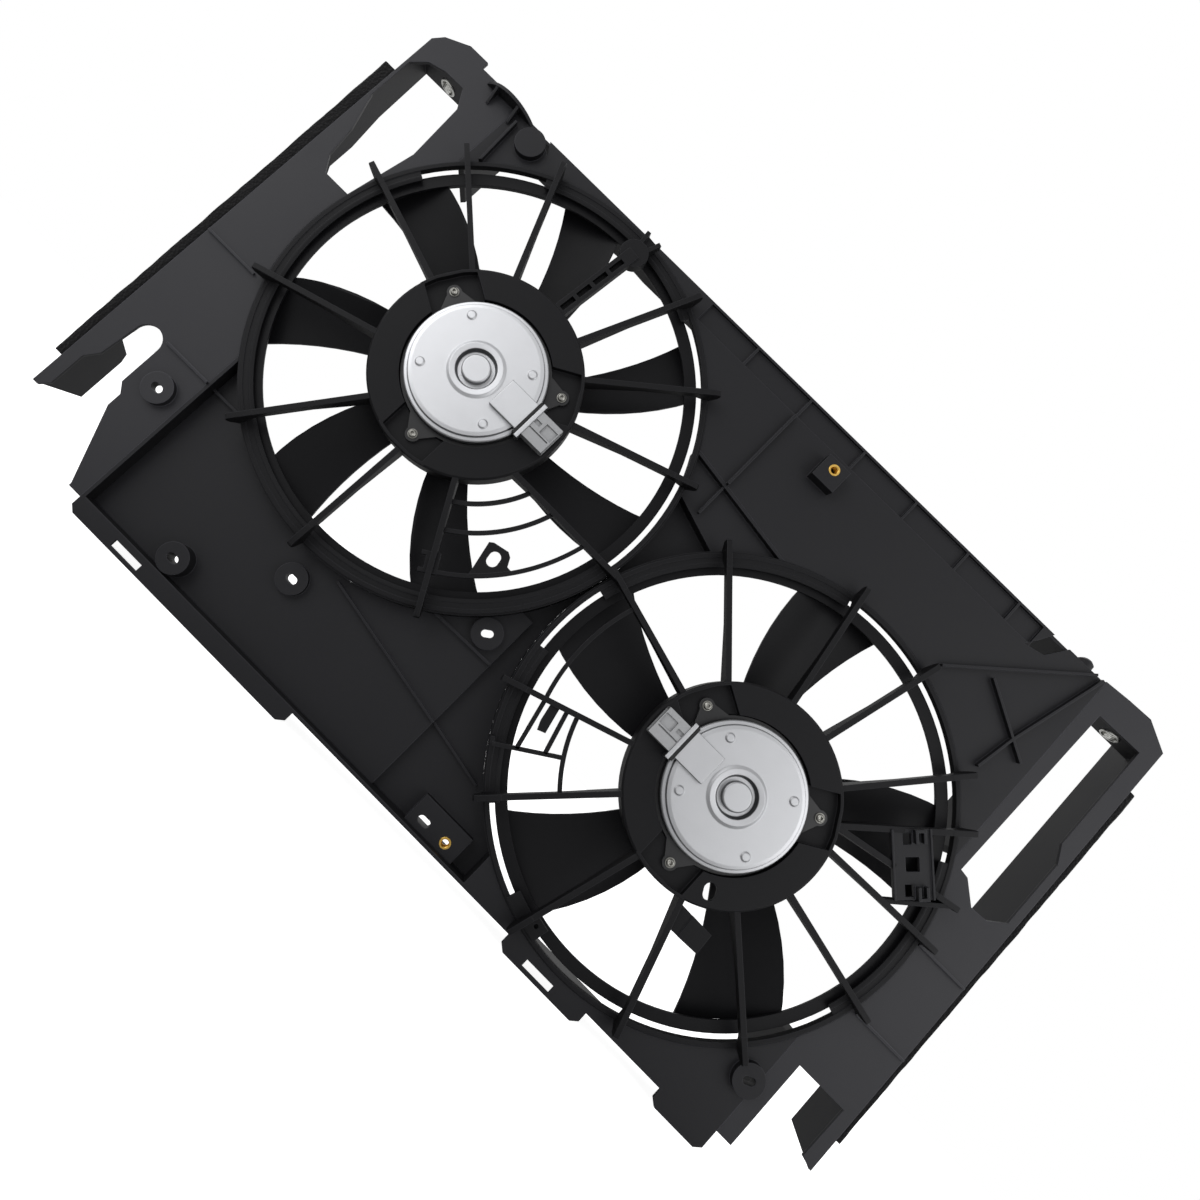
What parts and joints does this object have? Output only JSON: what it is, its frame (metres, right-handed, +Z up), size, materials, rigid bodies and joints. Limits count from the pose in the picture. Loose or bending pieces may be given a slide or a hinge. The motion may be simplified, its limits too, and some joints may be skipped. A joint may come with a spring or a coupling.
{
  "type": "radiator cooling fan",
  "caption": "Twin radiator cooling fan: moulded shroud with two ringed fan wheels, each on its own motor held by a spoked carrier, with side seals and bolt sleeves.",
  "frame": {"origin": "midway between the two bolt sleeves at the top of the shroud, on the line of their centres", "axes": "+X to the right as seen from the motor side, along the longest side; +Y from the motor side to the radiator, through the thinnest way; +Z up, along the sleeves"},
  "size_m": [0.765, 0.078, 0.439],
  "materials": {
    "shroud_moulding": "fine-grained moulded glass-filled nylon",
    "fan_moulding": "satin moulded plastic",
    "foam": "open-cell sealing foam",
    "plated_steel": "zinc plated",
    "brass": "machined",
    "cap_metal": "satin pressed sheet",
    "black_steel": "black painted",
    "connector_grey": "satin moulded plastic",
    "ferrite": "sintered",
    "brown_resin": "moulded resin",
    "carbon": "pressed carbon",
    "bronze": "sintered, oil filled",
    "lamination_steel": "stacked sheet",
    "copper_wire": "enamelled copper"
  },
  "bodies": {
    "shroud": {"shroud_panel": "shroud_moulding", "recessed_panel": "shroud_moulding", "lower_flange": "shroud_moulding", "left_wing": "shroud_moulding", "right_wing": "shroud_moulding", "left_fan_port": "shroud_moulding", "right_fan_port": "shroud_moulding", "left_motor_carrier": "shroud_moulding", "right_motor_carrier": "shroud_moulding", "left_finger_guard": "shroud_moulding", "right_finger_guard": "shroud_moulding", "module_bracket": "shroud_moulding", "left_side_seal": "foam", "right_side_seal": "foam", "left_bolt_sleeve": "plated_steel", "right_bolt_sleeve": "plated_steel", "upper_threaded_insert": "brass", "lower_threaded_insert": "brass", "left_motor_cap": "cap_metal", "left_yoke": "black_steel", "left_mounting_flange": "black_steel", "left_motor_screws": "plated_steel", "left_magnets": "ferrite", "left_brush_holder": "brown_resin", "left_brushes": "carbon", "left_cap_bearing": "bronze", "left_yoke_bearing": "bronze", "left_terminal_cover": "cap_metal", "left_connector": "connector_grey", "left_terminals": "brass", "right_motor_cap": "cap_metal", "right_yoke": "black_steel", "right_mounting_flange": "black_steel", "right_motor_screws": "plated_steel", "right_magnets": "ferrite", "right_brush_holder": "brown_resin", "right_brushes": "carbon", "right_cap_bearing": "bronze", "right_yoke_bearing": "bronze", "right_terminal_cover": "cap_metal", "right_connector": "connector_grey", "right_terminals": "brass"},
    "left_rotor": {"left_shaft": "plated_steel", "left_armature_core": "lamination_steel", "left_windings": "copper_wire", "left_commutator": "copper_wire", "left_fan_wheel": "fan_moulding", "left_fan_nut": "plated_steel"},
    "right_rotor": {"right_shaft": "plated_steel", "right_armature_core": "lamination_steel", "right_windings": "copper_wire", "right_commutator": "copper_wire", "right_fan_wheel": "fan_moulding", "right_fan_nut": "plated_steel"}
  },
  "joints": [
    {"name": "left_fan_spin", "type": "hinge", "parent": "shroud", "child": "left_rotor", "pos_m": [-0.161, 0, -0.155], "axis": [0, 1, 0], "continuous": true},
    {"name": "right_fan_spin", "type": "hinge", "parent": "shroud", "child": "right_rotor", "pos_m": [0.1635, 0, -0.2355], "axis": [0, 1, 0], "continuous": true}
  ]
}
